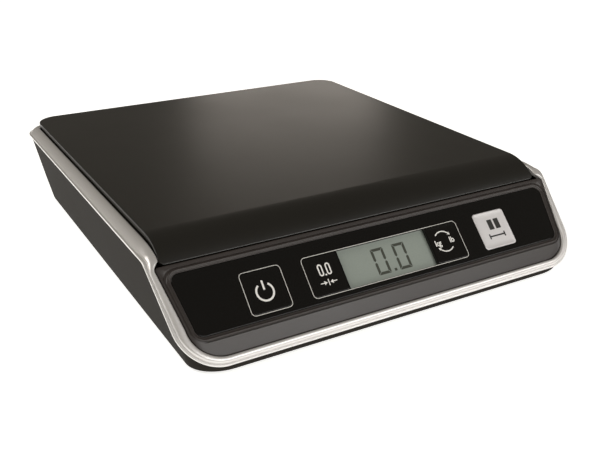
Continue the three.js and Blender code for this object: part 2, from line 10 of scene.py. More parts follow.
import bmesh
import bpy
import numpy as np
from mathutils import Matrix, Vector


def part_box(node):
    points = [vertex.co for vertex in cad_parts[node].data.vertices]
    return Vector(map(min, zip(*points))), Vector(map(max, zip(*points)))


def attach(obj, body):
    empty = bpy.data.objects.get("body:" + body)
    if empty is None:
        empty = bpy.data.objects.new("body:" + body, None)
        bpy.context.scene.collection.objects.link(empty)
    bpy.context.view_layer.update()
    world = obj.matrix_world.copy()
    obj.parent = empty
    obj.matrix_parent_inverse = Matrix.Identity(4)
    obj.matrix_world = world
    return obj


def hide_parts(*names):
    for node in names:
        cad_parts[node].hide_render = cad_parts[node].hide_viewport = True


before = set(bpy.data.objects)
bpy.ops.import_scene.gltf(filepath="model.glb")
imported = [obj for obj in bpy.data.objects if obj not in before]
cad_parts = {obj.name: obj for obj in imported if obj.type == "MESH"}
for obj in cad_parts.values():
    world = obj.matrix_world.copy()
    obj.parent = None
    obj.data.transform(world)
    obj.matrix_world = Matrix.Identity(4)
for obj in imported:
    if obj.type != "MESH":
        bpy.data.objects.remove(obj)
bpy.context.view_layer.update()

MM = 0.001
SLOPE = math.radians(45)
SIN_SLOPE = math.sin(SLOPE)


# %% [markdown]
# The camera comes first. It stands in front and to the left, a little above the platform,
# with a lens of about 49 mm on a 36 mm sensor, and it is turned to the right of straight ahead.

# %% The camera
def place_camera(position, yaw, pitch, lens):
    """A level camera: yaw turns it to the right of +Y, pitch tips it down."""
    data = bpy.data.cameras.new("camera")
    data.sensor_width = 36
    data.lens = lens
    data.clip_start = 0.01
    data.clip_end = 50
    camera = bpy.data.objects.new("camera", data)
    camera.location = Vector(position) * MM
    camera.rotation_euler = (math.radians(90 - pitch), 0, math.radians(-yaw))
    bpy.context.scene.collection.objects.link(camera)
    bpy.context.scene.camera = camera


place_camera(position=(-198.7, -372.4, 187.4), yaw=29.62, pitch=23.84, lens=49.29)
print("camera lens:", round(bpy.context.scene.camera.data.lens, 2), "mm")


# %% [markdown]
# Sizes are taken from the CAD nodes. The panel has its own coordinates: x across, a row counted
# down the slope from the top of the glossy overlay, and a height out of its face.

# %% Measures from the frame
def box_mm(node):
    """Lowest and highest corner of a CAD node in millimetres."""
    low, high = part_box(node)
    return low / MM, high / MM


def middle_of(node):
    low, high = box_mm(node)
    return (low + high) / 2


OVERLAY_TOP, OVERLAY_LOW, OVERLAY_INSET = -0.3, -1.5, 0.3
overlay_high = box_mm("panel_overlay")[1]
PANEL_Y = overlay_high.y + (OVERLAY_LOW + OVERLAY_INSET) * SIN_SLOPE
PANEL_Z = overlay_high.z + (OVERLAY_INSET - OVERLAY_TOP) * SIN_SLOPE
TAPER = 0.1


def panel(x, row, height=0.0):
    """The place in the frame of a point given in panel coordinates."""
    return (x, PANEL_Y - (row + height) * SIN_SLOPE, PANEL_Z + (height - row) * SIN_SLOPE)


platform_low, platform_high = box_mm("platform")
ring_low, ring_high = box_mm("trim_ring")
print("panel origin y, z:", round(PANEL_Y, 2), round(PANEL_Z, 2))


# %% [markdown]
# Most pieces here are moulded: an outline with round corners, swept through a few rounded
# edges. So the main tool is a loft. It joins closed loops that have the same number of points,
# and caps the two ends, or joins the last loop to the first to make a ring.

# %% Mesh tools
def arc(cx, cy, rx, ry, start, end, steps):
    """Points on an ellipse from one angle to another, in degrees."""
    angles = np.radians(np.linspace(start, end, steps + 1))
    return [(cx + rx * math.cos(a), cy + ry * math.sin(a)) for a in angles]


def add_object(name, mesh):
    piece = bpy.data.objects.new(name, mesh)
    bpy.context.scene.collection.objects.link(piece)
    return piece


def loft(name, loops, ring=False):
    """A closed solid through the loops, whose points are in millimetres."""
    solid = bmesh.new()
    rows = [[solid.verts.new(Vector(p) * MM) for p in loop] for loop in loops]
    count = len(rows[0])
    pairs = list(zip(rows, rows[1:]))
    if ring:
        pairs.append((rows[-1], rows[0]))
    else:
        solid.faces.new(rows[0][::-1])
        solid.faces.new(rows[-1])
    for near, far in pairs:
        for i in range(count):
            j = (i + 1) % count
            solid.faces.new((near[i], near[j], far[j], far[i]))
    bmesh.ops.recalc_face_normals(solid, faces=solid.faces)
    mesh = bpy.data.meshes.new(name)
    solid.to_mesh(mesh)
    solid.free()
    return add_object(name, mesh)


def applied(piece):
    """The piece with its modifiers made part of its mesh."""
    graph = bpy.context.evaluated_depsgraph_get()
    mesh = bpy.data.meshes.new_from_object(piece.evaluated_get(graph))
    piece.modifiers.clear()
    piece.data = mesh
    return piece


def smooth(piece, angle=32):
    """Round surfaces shade smoothly, and big flat faces stay flat next to small round edges."""
    piece.data.shade_smooth()
    piece.data.set_sharp_from_angle(angle=math.radians(angle))
    weights = piece.modifiers.new("weights", "WEIGHTED_NORMAL")
    weights.keep_sharp = True
    return applied(piece)


def placed(piece, material, body, nodes=()):
    """Gives a finished piece its material and the body it rides, and hides the CAD nodes it stands for.
    """
    piece.data.materials.clear()
    piece.data.materials.append(material)
    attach(piece, body)
    if nodes:
        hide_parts(*nodes)
    print(piece.name, "on", body, len(piece.data.polygons), "faces")


def carve(piece, tools, operation="DIFFERENCE"):
    """Joins tools to a piece, or cuts them out of it."""
    for tool in tools:
        change = piece.modifiers.new("carve", "BOOLEAN")
        change.operation = operation
        change.solver = "MANIFOLD"
        change.object = tool
        applied(piece)
        bpy.data.objects.remove(tool)
    return piece


def block(x0, y0, z0, x1, y1, z1):
    """A box between two corners, used to cut and to join."""
    plan = [(x0, y0), (x1, y0), (x1, y1), (x0, y1)]
    return loft("block", [[(x, y, z) for x, y in plan] for z in (z0, z1)])


def turned(profile, x, y, steps=40):
    """A solid turned about an upright axis, from (radius, z) points between its two end faces."""
    loops = [[(x + u, y + v, z) for u, v in arc(0, 0, r, r, 0, 360, steps)[:-1]] for r, z in profile]
    return loft("turned", loops)


# %% [markdown]
# Materials. Each one starts from what the real surface is. `paint` makes the shader, `node`
# adds one node with its settings and links, and `linear` turns an sRGB hex colour to the
# linear values that Blender works in.

# %% Material tools
def linear(code):
    """An sRGB hex colour as linear RGBA."""
    parts = [int(code[i:i + 2], 16) / 255 for i in (1, 3, 5)]
    return [c / 12.92 if c <= 0.04045 else ((c + 0.055) / 1.055) ** 2.4 for c in parts] + [1.0]


def node(tree, kind, settings=None, inputs=None):
    """One node. An input is a value, or another node's output socket to link."""
    made = tree.nodes.new(kind)
    for name, value in (settings or {}).items():
        setattr(made, name, value)
    for key, value in (inputs or {}).items():
        if isinstance(value, bpy.types.NodeSocket):
            tree.links.new(value, made.inputs[key])
        else:
            made.inputs[key].default_value = value
    return made


def paint(name, colour, roughness, metallic=0.0, **sockets):
    """A material with one Principled shader. Sockets are named with _ for a space."""
    material = bpy.data.materials.new(name)
    material.use_nodes = True
    tree = material.node_tree
    shader = tree.nodes["Principled BSDF"]
    shader.inputs["Base Color"].default_value = linear(colour)
    shader.inputs["Roughness"].default_value = roughness
    shader.inputs["Metallic"].default_value = metallic
    for key, value in sockets.items():
        shader.inputs[key.replace("_", " ")].default_value = value
    return material, tree, shader


def object_place(tree, scale=(1, 1, 1)):
    """Object coordinates, stretched where a pattern runs one way."""
    source = node(tree, "ShaderNodeTexCoord").outputs["Object"]
    return node(tree, "ShaderNodeMapping", {}, {"Vector": source, "Scale": scale}).outputs[0]


def per_metre(size_mm):
    """Texture scale for a pattern whose cells are this many millimetres wide."""
    return 1 / (size_mm * MM)


def grain(tree, shader, size_mm, depth_mm, detail=2.0, strength=1.0, scale=(1, 1, 1)):
    """Fine bumps of a real grain size, and their noise for other uses."""
    place = object_place(tree, scale)
    noise = node(tree, "ShaderNodeTexNoise", {}, {
        "Vector": place, "Scale": per_metre(size_mm), "Detail": detail, "Roughness": 0.55})
    bump = node(tree, "ShaderNodeBump", {}, {
        "Height": noise.outputs[0], "Distance": depth_mm * MM, "Strength": strength})
    tree.links.new(bump.outputs["Normal"], shader.inputs["Normal"])
    return noise.outputs[0]


def vary(tree, shader, noise, low, high, colours=None):
    """Lets the noise move the roughness, and the colour between two close shades."""
    spread = node(tree, "ShaderNodeMapRange", {}, {"Value": noise, "To Min": low, "To Max": high})
    tree.links.new(spread.outputs[0], shader.inputs["Roughness"])
    if colours:
        mix = node(tree, "ShaderNodeMix", {"data_type": "RGBA"}, {
            "Factor": noise, "A": linear(colours[0]), "B": linear(colours[1])})
        tree.links.new(mix.outputs["Result"], shader.inputs["Base Color"])


# %% [markdown]
# The black case is ABS moulded in a spark-eroded steel tool. The tool leaves a fine grain of
# about 0.4 mm, drawn here at 0.7 mm so that it shows. The platform comes from a finer tool and
# looks warmer and smoother. Handling polishes both a little, so a broad noise moves the gloss.

# %% Black ABS
def moulded_abs(name, dark, light, roughness, grain_mm, depth_mm, gloss):
    material, tree, shader = paint(name, dark, roughness, IOR=1.53, Specular_IOR_Level=gloss)
    grain(tree, shader, grain_mm, depth_mm)
    broad = node(tree, "ShaderNodeTexNoise", {}, {
        "Vector": object_place(tree), "Scale": per_metre(60), "Detail": 3.0})
    vary(tree, shader, broad.outputs[0], roughness - 0.05, roughness + 0.05, (dark, light))
    return material


case_abs = moulded_abs("case_abs", "#2a2724", "#2f2c28", 0.62, 0.7, 0.02, gloss=0.03)
bezel_abs = moulded_abs("bezel_abs", "#2b2522", "#332c29", 0.38, 0.7, 0.015, gloss=0.5)
platform_abs = moulded_abs("platform_abs", "#181612", "#1b1915", 0.33, 0.5, 0.008, gloss=0.5)
print("moulded:", case_abs.name, bezel_abs.name, platform_abs.name)


# %% [markdown]
# The ring is ABS sprayed with silver paint under a clear coat. The paint holds aluminium
# flakes, so it is a metal with soft reflections. Very fine flake noise breaks the highlight.

# %% Silver paint
def silver_paint(name, colour, roughness, coat):
    material, tree, shader = paint(name, colour, roughness, metallic=0.55, Coat_Weight=coat,
                                   Coat_Roughness=0.12)
    flakes = grain(tree, shader, 0.35, 0.004, detail=1.0)
    vary(tree, shader, flakes, roughness - 0.04, roughness + 0.06)
    return material


ring_silver = silver_paint("ring_silver", "#e4e1df", 0.32, coat=0.3)
key_silver = silver_paint("key_silver", "#dedbdb", 0.45, coat=0.0)
print("silver:", ring_silver.name, key_silver.name)


# %% [markdown]
# The overlay is polyester film printed black from behind, so the ink sits under a clear gloss.
# Its surface has the faint long waves of thin film. The display is a reflective liquid crystal
# cell: grey-green and almost even, under a smooth polarising sheet.

# %% Film, display and ink
def gloss_film():
    material, tree, shader = paint("gloss_film", "#0d0c0b", 0.07, IOR=1.5)
    shader.inputs["Specular IOR Level"].default_value = 0.42
    waves = grain(tree, shader, 14, 0.02, detail=1.0, strength=0.25)
    vary(tree, shader, waves, 0.05, 0.10)
    return material


def crystal_cell():
    material, tree, shader = paint("crystal_cell", "#949c94", 0.3, Coat_Weight=0.25,
                                   Coat_Roughness=0.1)
    noise = grain(tree, shader, 0.6, 0.003, detail=1.0)
    vary(tree, shader, noise, 0.26, 0.34, ("#909890", "#98a098"))
    return material


def ink(name, colour):
    """Screen-printed ink: matt, opaque, with a slightly uneven layer."""
    material, tree, shader = paint(name, colour, 0.55)
    noise = grain(tree, shader, 0.4, 0.004, detail=1.0)
    vary(tree, shader, noise, 0.5, 0.6)
    return material


film = gloss_film()
display_face = crystal_cell()
light_ink = ink("light_ink", "#f3f1ed")
line_ink = ink("line_ink", "#dddbd5")
dark_ink = ink("dark_ink", "#24221f")
segment_ink = ink("segment_ink", "#3a3d32")
print("panel finishes:", film.name, display_face.name, light_ink.name, dark_ink.name)


# %% [markdown]
# The inner and lower pieces: rubber feet, nickel-plated steel, die-cast and machined
# aluminium, green circuit boards, white silicone, printed battery sleeves and PVC leads.

# %% Rubber, metals and electronics
def rubber_finish():
    material, tree, shader = paint("moulded_rubber", "#191918", 0.8, IOR=1.52)
    vary(tree, shader, grain(tree, shader, 0.5, 0.02), 0.72, 0.88, ("#161615", "#1e1e1d"))
    return material


def plated_finish():
    material, tree, shader = paint("nickel_plate", "#b9b4a8", 0.3, metallic=1.0)
    drawn = grain(tree, shader, 0.4, 0.004, scale=(1, 1, 0.08))
    vary(tree, shader, drawn, 0.22, 0.38)
    return material


def aluminium_finish():
    material, tree, shader = paint("cast_aluminium", "#b3b5b7", 0.4, metallic=1.0)
    vary(tree, shader, grain(tree, shader, 0.8, 0.02), 0.33, 0.5, ("#a6a8ab", "#bcbec0"))
    return material


def board_finish():
    """Green solder mask over square copper tracks, which show as a lighter green."""
    material, tree, shader = paint("solder_mask", "#17502f", 0.35, IOR=1.5)
    cells = node(tree, "ShaderNodeTexBrick", {"offset": 0.5}, {
        "Vector": object_place(tree), "Color1": linear("#1b5a35"), "Color2": linear("#174c2d"),
        "Mortar": linear("#2d7a4a"), "Scale": per_metre(40), "Mortar Size": 0.012})
    tree.links.new(cells.outputs["Color"], shader.inputs["Base Color"])
    grain(tree, shader, 1.2, 0.01)
    return material


def sleeve_finish():
    """A battery sleeve in two plain colours, split at a third of its length, with no lettering."""
    material, tree, shader = paint("battery_sleeve", "#4d555f", 0.3, metallic=0.3)
    place = node(tree, "ShaderNodeSeparateXYZ", {}, {0: object_place(tree)})
    band = node(tree, "ShaderNodeMath", {"operation": "GREATER_THAN"}, {
        0: place.outputs["Y"], 1: middle_of("battery_cell_1").y * MM + 0.008})
    mix = node(tree, "ShaderNodeMix", {"data_type": "RGBA"}, {
        "Factor": band.outputs[0], "A": linear("#3c444d"), "B": linear("#b87333")})
    tree.links.new(mix.outputs["Result"], shader.inputs["Base Color"])
    grain(tree, shader, 3.0, 0.01)
    return material


def plain_moulding(name, dark, light, roughness, grain_mm):
    material, tree, shader = paint(name, dark, roughness)
    vary(tree, shader, grain(tree, shader, grain_mm, 0.01), roughness - 0.06, roughness + 0.06,
         (dark, light))
    return material


rubber = rubber_finish()
nickel = plated_finish()
aluminium = aluminium_finish()
solder_mask = board_finish()
sleeve = sleeve_finish()
epoxy = plain_moulding("epoxy", "#101010", "#181818", 0.5, 0.3)
silicone = plain_moulding("silicone", "#dcd9d0", "#e6e4dc", 0.55, 1.5)
pvc = plain_moulding("pvc_insulation", "#232324", "#2b2b2c", 0.5, 0.8)
print("materials:", len(bpy.data.materials))


# %% [markdown]
# Geometry Nodes build what follows a rule. Each tree gets named inputs. `new_tree` opens one,
# `close_tree` ends it in Realize Instances and Set Material, and `grown` runs it on a piece:
# it sets the inputs by their identifiers, evaluates, and keeps the plain mesh.

# %% Geometry Nodes tools
def new_tree(name, inputs):
    """A tree with a geometry input, the named inputs, and a geometry output."""
    tree = bpy.data.node_groups.new(name, "GeometryNodeTree")
    tree.interface.new_socket("Geometry", in_out="INPUT", socket_type="NodeSocketGeometry")
    for label, kind in inputs.items():
        tree.interface.new_socket(label, in_out="INPUT", socket_type=kind)
    tree.interface.new_socket("Geometry", in_out="OUTPUT", socket_type="NodeSocketGeometry")
    return tree, tree.nodes.new("NodeGroupInput").outputs


def close_tree(tree, geometry, material):
    real = node(tree, "GeometryNodeRealizeInstances", {}, {0: geometry})
    dressed = node(tree, "GeometryNodeSetMaterial", {}, {"Geometry": real.outputs[0]})
    dressed.inputs["Material"].default_value = material
    node(tree, "NodeGroupOutput", {}, {0: dressed.outputs[0]})


def grown(piece, tree, values):
    """The piece with the tree applied to its mesh."""
    change = piece.modifiers.new("grow", "NODES")
    change.node_group = tree
    for item in tree.interface.items_tree:
        if item.item_type == "SOCKET" and item.in_out == "INPUT" and item.name in values:
            change[item.identifier] = values[item.name]
    return applied(piece)


# %% [markdown]
# The platform is one ABS moulding, 2.5 mm thick. It starts as a flat plate with round corners
# and a small round edge. A Geometry Nodes tree then rolls its front down: whatever lies past
# the bend line is wrapped round a cylinder, as if the plate were bent over a former.

# %% The weighing platform
ROLL_RADIUS, ROLL_ANGLE = 25.0, math.radians(48.76)
PLATE = 2.5
PAD_SOCKET_OUTER, PAD_SOCKET_INNER, PAD_SOCKET_LOW = 6.4, 5.1, 43.6
BEND_Y = platform_low.y + ROLL_RADIUS * math.sin(ROLL_ANGLE)
FLAT_FRONT = BEND_Y - ROLL_RADIUS * ROLL_ANGLE


def plate_outline(half, front, rear, front_radius, rear_radius, inset):
    """A plate outline, set in by an amount that its corner radii take up."""
    half, front, rear = half - inset, front + inset, rear - inset
    rf, rr = max(front_radius - inset, 0.3), rear_radius - inset
    right = arc(half - rr, rear - rr, rr, rr, 90, 0, 14) + arc(half - rf, front + rf, rf, rf, 0, -90, 8)
    return right + [(-x, y) for x, y in reversed(right)]


# Each row is one sum of the roll: its name, its operation and the two values it works on.
ROLL_SUMS = [
    ("ahead", "SUBTRACT", "bend", "y"), ("past", "MAXIMUM", "ahead", "none"),
    ("angle", "DIVIDE", "past", "radius"), ("centre", "SUBTRACT", "top", "radius"),
    ("reach", "SUBTRACT", "z", "centre"), ("sine", "SINE", "angle", "none"),
    ("cosine", "COSINE", "angle", "none"), ("forward", "MULTIPLY", "reach", "sine"),
    ("upward", "MULTIPLY", "reach", "cosine"), ("flat_y", "ADD", "y", "past"),
    ("new_y", "SUBTRACT", "flat_y", "forward"), ("new_z", "ADD", "centre", "upward"),
]


def roll_tree():
    """Wraps everything in front of the bend line round a cylinder below it."""
    tree, given = new_tree("roll_front", {
        "Bend Line": "NodeSocketFloat", "Top": "NodeSocketFloat", "Radius": "NodeSocketFloat"})
    at = node(tree, "ShaderNodeSeparateXYZ", {}, {
        0: node(tree, "GeometryNodeInputPosition").outputs[0]}).outputs
    value = {"y": at["Y"], "z": at["Z"], "none": 0.0, "bend": given["Bend Line"],
             "top": given["Top"], "radius": given["Radius"]}
    for name, operation, first, second in ROLL_SUMS:
        made = node(tree, "ShaderNodeMath", {"operation": operation},
                    {0: value[first], 1: value[second]})
        value[name] = made.outputs[0]
    place = node(tree, "ShaderNodeCombineXYZ", {}, {
        "X": at["X"], "Y": value["new_y"], "Z": value["new_z"]})
    moved = node(tree, "GeometryNodeSetPosition", {}, {
        "Geometry": given["Geometry"], "Position": place.outputs[0]})
    close_tree(tree, moved.outputs[0], platform_abs)
    return tree


def score(piece, start, end, step):
    """Cuts lines across the piece, so that it can bend between them."""
    mesh = bmesh.new()
    mesh.from_mesh(piece.data)
    for y in np.arange(start, end, step):
        everything = mesh.verts[:] + mesh.edges[:] + mesh.faces[:]
        bmesh.ops.bisect_plane(mesh, geom=everything, plane_co=(0, y * MM, 0), plane_no=(0, 1, 0))
    mesh.to_mesh(piece.data)
    mesh.free()


def make_platform():
    top = platform_high.z
    edge = [(0.3, -PLATE), (0.06, -PLATE + 0.08), (0, -PLATE + 0.3), (0, -0.55), (0.05, -0.33),
            (0.17, -0.14), (0.36, -0.03), (0.6, 0)]
    loops = []
    for inset, depth in edge:
        plan = plate_outline(platform_high.x, FLAT_FRONT, platform_high.y, 2.5, 12, inset)
        loops.append([(x, y, top + depth) for x, y in plan])
    plate = loft("platform_shell", loops)
    score(plate, FLAT_FRONT + 0.7, BEND_Y + 0.1, 0.8)
    plate = grown(plate, roll_tree(), {
        "Bend Line": BEND_Y * MM, "Top": top * MM, "Radius": ROLL_RADIUS * MM})
    root = top - PLATE + 0.3
    hollow = [(PAD_SOCKET_OUTER, PAD_SOCKET_LOW), (PAD_SOCKET_OUTER, root),
              (PAD_SOCKET_INNER, root), (PAD_SOCKET_INNER, PAD_SOCKET_LOW)]
    sockets = []
    for i in range(1, 5):
        post = middle_of(f"carrier_pad_{i}")
        circles = [(arc(0, 0, r, r, 0, 360, 32)[:-1], z) for r, z in hollow]
        rings = [[(post.x + u, post.y + v, z) for u, v in circle] for circle, z in circles]
        sockets.append(loft("socket", rings, ring=True))
    return smooth(carve(plate, sockets, "UNION"))


placed(make_platform(), platform_abs, "weighing_platform", ["platform"])


# %% [markdown]
# The silver ring follows one path: along the rear and the sides it lies flat, then it bends
# down and runs round the panel. Its section changes on the way, from a broad shoulder beside
# the platform to a narrow band beside the panel, so it is lofted from sections. Each station
# of the path has an outer and an inner point, a direction up, and the share of the two sections.

# %% The path of the ring
LIP_Z, LIP_HEIGHT, LIP_OFFSET = 41.3, 0.9, -1.2
RING_DRAFT = 0.115
HALF_WIDTH, FRONT, REAR = ring_high.x, ring_low.y, ring_high.y
INNER_X, INNER_REAR = 102.1, REAR - 5.6
PANEL_INNER, PANEL_INNER_TOP, PANEL_INNER_LOW = 104.3, -3.4, 38.1
SIDE_TOP = -2  # the row where the side of the panel's opening begins
REAR_CORNER, FRONT_CORNER, INNER_CORNER, PANEL_CORNER = 14, (18, 13), 9, 14.5
BEND_RADIUS = 8.0


def ease(value, start, end):
    """0 before start, 1 after end, and smooth between them."""
    t = min(max((value - start) / (end - start), 0.0), 1.0)
    return t * t * (3 - 2 * t)


def bent_height(y, flat, offset, radius=BEND_RADIUS):
    """Height of a line that is flat, bends round a radius and then runs parallel to the panel."""
    slope_at = PANEL_Z - PANEL_Y + offset * math.sqrt(2)
    corner = flat - slope_at
    tangent = radius * math.tan(SLOPE / 2)
    start, end = corner + tangent, corner - tangent * math.cos(SLOPE)
    if y >= start:
        return flat
    if y <= end:
        return y + slope_at
    return flat - radius + math.sqrt(radius**2 - (start - y) ** 2)


def station(outer, inner, share):
    """Outer and inner points in plan become points in space, with the way up between them."""
    outer_z = bent_height(outer[1], LIP_Z, LIP_OFFSET)
    half = HALF_WIDTH - RING_DRAFT * (LIP_Z - outer_z)
    draft = half / HALF_WIDTH
    up = Vector((0, -math.sin(SLOPE * share), math.cos(SLOPE * share)))
    lip = Vector((outer[0] * draft, outer[1], outer_z))
    inner_z = bent_height(inner[1], LIP_Z, LIP_OFFSET)
    return lip, Vector((inner[0], inner[1], inner_z)), up, share


def panel_row_of(y):
    """The row, on the lip's plane, of a point at this y."""
    return (PANEL_Y - y) / SIN_SLOPE - LIP_OFFSET


def inner_x_at(y):
    """The inner edge hugs the platform, then steps out to the panel's tapering opening."""
    top_x, low_x = (PANEL_INNER - TAPER * row for row in (PANEL_INNER_TOP, PANEL_INNER_LOW))
    side_length = PANEL_INNER_LOW - PANEL_CORNER - SIDE_TOP
    beside_panel = top_x + (low_x - top_x) * (panel_row_of(y) - SIDE_TOP) / side_length
    return INNER_X + (beside_panel - INNER_X) * ease(-y, 85.8, 89.4)


def ring_stations():
    stations = [station((0, REAR), (0, INNER_REAR), 0)]
    r, q = REAR_CORNER, INNER_CORNER
    outer = arc(HALF_WIDTH - r, REAR - r, r, r, 90, 0, 14)
    inner = arc(INNER_X - q, INNER_REAR - q, q, q, 90, 0, 14)
    stations += [station(o, i, 0) for o, i in zip(outer, inner)]
    for y in (90, 40, 0, -40, -70, *np.arange(-76, -95, -0.6), -98, -102, -105):
        share = ease(-y, 73, 88)
        stations.append(station((HALF_WIDTH, y), (inner_x_at(y), y), share))
    wide, deep = FRONT_CORNER
    outer = arc(HALF_WIDTH - wide, FRONT + deep, wide, deep, 0, -90, 18)
    low_half = PANEL_INNER - TAPER * PANEL_INNER_LOW
    r = PANEL_CORNER
    turn = arc(low_half - r, PANEL_INNER_LOW - r, r, r, 0, 90, 18)
    inner = [(x, panel(x, row, LIP_OFFSET)[1]) for x, row in turn]
    stations += [station(o, i, 1) for o, i in zip(outer, inner)]
    stations.append(station((0, FRONT), (0, inner[-1][1]), 1))
    return stations


print("ring stations on one side:", len(ring_stations()))


# %% [markdown]
# Both sections list the same points, as a share of the way in and a height above the lip in
# millimetres: the foot of the lip, its rounded edge, the narrow flat on top, the step, the
# raised part and the inner wall.

# %% The sections of the ring
SHOULDER = [(0, -0.9), (0, -0.3), (0.006, -0.12), (0.02, -0.03), (0.045, 0), (0.10, 0.02),
            (0.125, 0.06), (0.15, 0.25), (0.21, 0.78), (0.30, 1.36), (0.42, 1.95), (0.56, 2.44),
            (0.70, 2.74), (0.83, 2.92), (0.92, 2.98), (0.97, 2.93), (1.0, 2.7), (1.0, -0.9)]
BAND = [(0, -0.9), (0, -0.3), (0.012, -0.12), (0.035, -0.03), (0.07, 0), (0.25, 0.02),
        (0.27, -0.02), (0.29, 0.25), (0.32, 0.6), (0.37, 0.9), (0.45, 1.15), (0.55, 1.31),
        (0.66, 1.38), (0.78, 1.38), (0.88, 1.3), (0.95, 1.12), (1.0, 0.8), (1.0, -0.9)]


REAR_TOP = 43.6  # the ring stays below this at the rear, to leave room for the platform


def ring_section(lip, inner, up, share):
    points = []
    for (a, b), (c, d) in zip(SHOULDER, BAND):
        along, height = a + (c - a) * share, b + (d - b) * share
        point = lip.lerp(inner, along) + up * height
        if share == 0 and abs(point.x) < platform_high.x + 0.4:
            point.z = min(point.z, REAR_TOP)
        points.append(point)
    return points


def make_ring():
    half = [ring_section(*s) for s in ring_stations()]
    mirror = [[Vector((-p.x, p.y, p.z)) for p in loop] for loop in reversed(half[1:-1])]
    return smooth(loft("silver_ring", half + mirror, ring=True), angle=38)


placed(make_ring(), ring_silver, "case", ["trim_ring"])


# %% [markdown]
# The case is a tub: walls that lean out from a flat floor, cut off at the top along the ring.
# The loft goes up the outer wall, over the rim and down the inner wall. The pockets for the
# batteries, feet, screws and socket are then cut out of it.

# %% The case
BASE_DRAFT, REAR_DRAFT = 0.185, 0.155
case_low, case_high = box_mm("base_tray")
BASE_Z, FLOOR_Z, WALL = case_low.z, 3.9, 2.2
RIM_Z, RIM_OFFSET = case_high.z, -2.4
DOOR_LOW, DOOR_HIGH = box_mm("battery_door")
CLEARANCE = 0.3
BAY_WALLS = (-21.2, -72.6, 2.0, 21.2, -11.4, 17.8)
BAY_HOLLOW = (-19.6, -71.0, 0, 19.6, -13.0, 16.2)
CELL_PAD = (-43, 5, 3, -19, 23, 8)
FOOT_SEAT = [(7.9, 0), (7.9, BASE_Z + 0.1), (7.3, BASE_Z + 0.5), (7.3, BASE_Z + 0.8)]
SCREW_WELL = [(4.6, 0), (4.6, BASE_Z), (3.6, BASE_Z + 1), (3.6, 5.0)]
SCREW_BORE, SCREW_TOWER = [(1.8, 4.5), (1.8, 20)], [(5.2, 3), (5.2, 11.7)]
CELL_SCREW_WELL, CELL_SCREW_BORE = [(3.8, 0), (3.8, 4.2)], [(2.1, 4.0), (2.1, 20)]


def case_loop(inset, height):
    """One level of the case. Height is 0 at the underside and 1 at the rim."""
    loop = []
    half, front, rear = HALF_WIDTH - 0.7, case_low.y, REAR - 0.7
    r, (wide, deep) = REAR_CORNER, FRONT_CORNER
    corner = arc(half - r, rear - r, r - inset, r - inset, 90, 0, 12)
    side = [(half - inset, y) for y in (80, 30, -20, -60, *np.arange(-76, -93, -1.5), -98)]
    turn = arc(half - wide, front + deep, wide - inset, deep - inset, 0, -90, 16)
    for x, y in corner + side + turn:
        rim = bent_height(y, RIM_Z, RIM_OFFSET)
        z = BASE_Z + height * (rim - BASE_Z)
        drop = LIP_Z - z
        lean = REAR_DRAFT * drop * ease(y, -40, rear)
        loop.append((x - BASE_DRAFT * drop * x / half, y - lean, z))
    return loop + [(-x, y, z) for x, y, z in reversed(loop)]


def raised(loop, lift):
    return [(x, y, z + lift) for x, y, z in loop]


def case_shell():
    loops = [case_loop(1.2, 0), raised(case_loop(0.6, 0), 0.12), raised(case_loop(0.2, 0), 0.5),
             raised(case_loop(0, 0), 1.1)]
    loops += [case_loop(0, h) for h in (0.35, 0.6, 0.8)]
    loops += [raised(case_loop(0, 1), -0.15), case_loop(0.12, 1), case_loop(WALL, 1)]
    loops += [case_loop(WALL, 0.6)]
    floor = [(x, y, FLOOR_Z) for x, y, z in case_loop(WALL, 0.12)]
    return loft("case_tub", loops + [floor])


def pocket_tools():
    """Everything that is cut out of the case, largest first."""
    tools = [block(*BAY_HOLLOW)]
    tools.append(block(DOOR_LOW.x - CLEARANCE, DOOR_LOW.y - CLEARANCE, 0,
                       DOOR_HIGH.x + CLEARANCE, DOOR_HIGH.y + CLEARANCE, DOOR_HIGH.z + CLEARANCE))
    for i in range(1, 5):
        foot, screw = middle_of(f"foot_{i}"), middle_of(f"case_screw_{i}")
        tools.append(turned(FOOT_SEAT, foot.x, foot.y))
        tools.append(turned(SCREW_WELL, screw.x, screw.y))
        tools.append(turned(SCREW_BORE, screw.x, screw.y, 20))
    for name in ("cell_screw_1", "cell_screw_2"):
        screw = middle_of(name)
        tools.append(turned(CELL_SCREW_WELL, screw.x, screw.y, 24))
        tools.append(turned(CELL_SCREW_BORE, screw.x, screw.y, 20))
    socket_low, socket_high = box_mm("power_socket")
    tools.append(block(socket_low.x - CLEARANCE, 100, socket_low.z - CLEARANCE,
                       socket_high.x + CLEARANCE, 125, socket_high.z + CLEARANCE))
    return tools


def make_case():
    case = case_shell()
    standings = [block(*BAY_WALLS), block(*CELL_PAD)]
    for i in range(1, 5):
        screw = middle_of(f"case_screw_{i}")
        standings.append(turned(SCREW_TOWER, screw.x, screw.y))
    carve(case, standings, "UNION")
    return smooth(carve(case, pocket_tools()))


placed(make_case(), case_abs, "case", ["base_tray"])


# %% [markdown]
# The panel frame is a flat moulding with a sunk seat for the film. A bead runs round the seat,
# then a small groove, and below it an apron tips down more steeply to meet the ring. All of
# this is one loft from the seat outwards. Each loop says its half-width, rows, radii and height.

# %% The panel frame
def panel_loop(half, top, low, top_radius, low_radius, height, apron=0.0):
    """A tapering outline with round corners, at a height over the panel. The apron tips it down."""
    top_half, low_half = half - TAPER * top, half - TAPER * low
    tr, lr = top_radius, low_radius
    right = arc(top_half - tr, top + tr, tr, tr, -90, 0, 8)
    right += arc(low_half - lr, low - lr, lr, lr, 0, 90, 12)
    outline = right + [(-x, row) for x, row in reversed(right)]
    return [panel(x, row, height - apron * max(row - 31.0, 0)) for x, row in outline]


